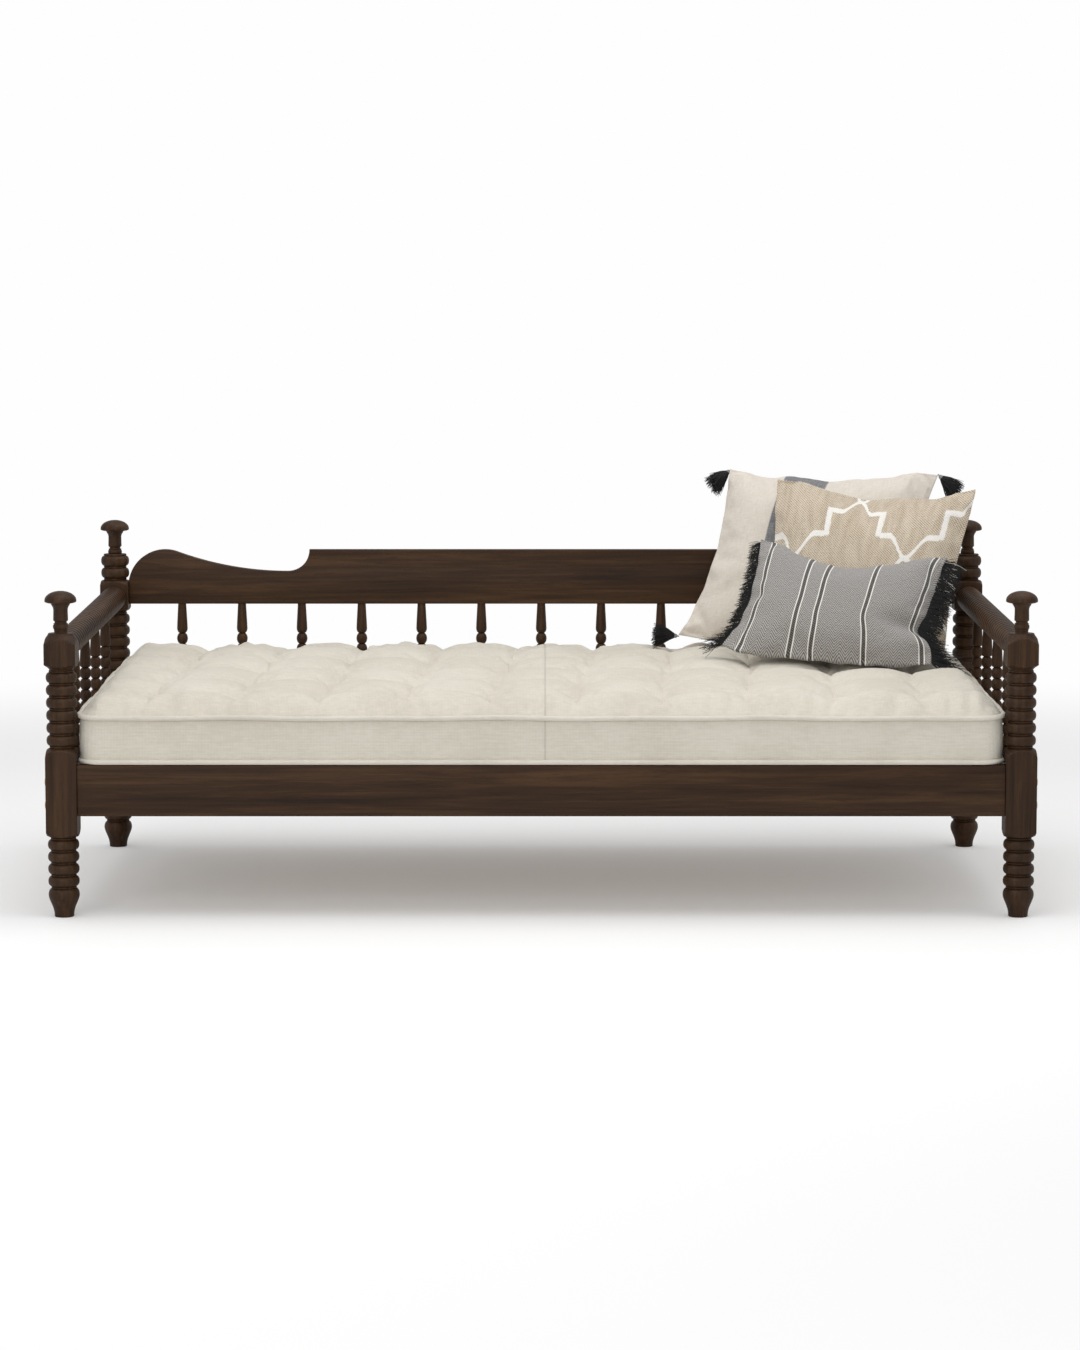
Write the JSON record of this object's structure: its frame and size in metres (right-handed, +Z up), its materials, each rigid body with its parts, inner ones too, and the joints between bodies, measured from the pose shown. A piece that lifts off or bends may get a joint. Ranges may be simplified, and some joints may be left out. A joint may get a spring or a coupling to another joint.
{
  "type": "spool-turned daybed",
  "caption": "Low wooden daybed with spool-turned posts, spindle back and arms, a shaped back board, a tufted mattress and loose cushions.",
  "frame": {"origin": "on the floor, midway between the four posts", "axes": "+X along the bed to the right of someone facing it, +Y to the back, +Z up"},
  "size_m": [2.029, 1.0409, 0.863],
  "materials": {
    "walnut": "satin",
    "pine": "matte",
    "bolt_metal": "satin",
    "nut_steel": "zinc plated",
    "mattress_cloth": "plain weave",
    "linen": "plain weave",
    "jute": "coarse weave",
    "grey_cloth": "herringbone weave",
    "black_yarn": "yarn"
  },
  "bodies": {
    "frame": {"post_front_left": "walnut", "post_front_right": "walnut", "post_back_left": "walnut", "post_back_right": "walnut", "front_rail": "walnut", "back_rail": "walnut", "side_rail_left": "walnut", "side_rail_right": "walnut", "back_board": "walnut", "arm_left": "walnut", "arm_right": "walnut", "back_spindles": "walnut", "arm_spindles_left": "walnut", "arm_spindles_right": "walnut", "board_dowels": "pine", "ledger_front": "pine", "ledger_back": "pine", "slat_01": "pine", "slat_02": "pine", "slat_03": "pine", "slat_04": "pine", "slat_05": "pine", "slat_06": "pine", "slat_07": "pine", "slat_08": "pine", "slat_09": "pine", "slat_10": "pine", "slat_11": "pine", "slat_12": "pine", "slat_13": "pine", "bed_bolts": "bolt_metal", "bolt_nuts": "nut_steel"},
    "mattress": {"mattress": "mattress_cloth"},
    "square": {"cushion_square": "linen", "cushion_tassels": "black_yarn"},
    "lattice": {"cushion_lattice": "jute"},
    "stripe": {"cushion_stripe": "grey_cloth", "cushion_fringe": "black_yarn"}
  },
  "joints": [
    {"name": "mattress_lift", "type": "slide", "parent": "frame", "child": "mattress", "axis": [0, 0, 1], "range_m": [0, 0.45]},
    {"name": "square_lift", "type": "slide", "parent": "mattress", "child": "square", "axis": [0, 0, 1], "range_m": [0, 0.4]},
    {"name": "lattice_lift", "type": "slide", "parent": "square", "child": "lattice", "axis": [0, 0, 1], "range_m": [0, 0.42]},
    {"name": "stripe_lift", "type": "slide", "parent": "lattice", "child": "stripe", "axis": [0, 0, 1], "range_m": [0, 0.42]}
  ]
}
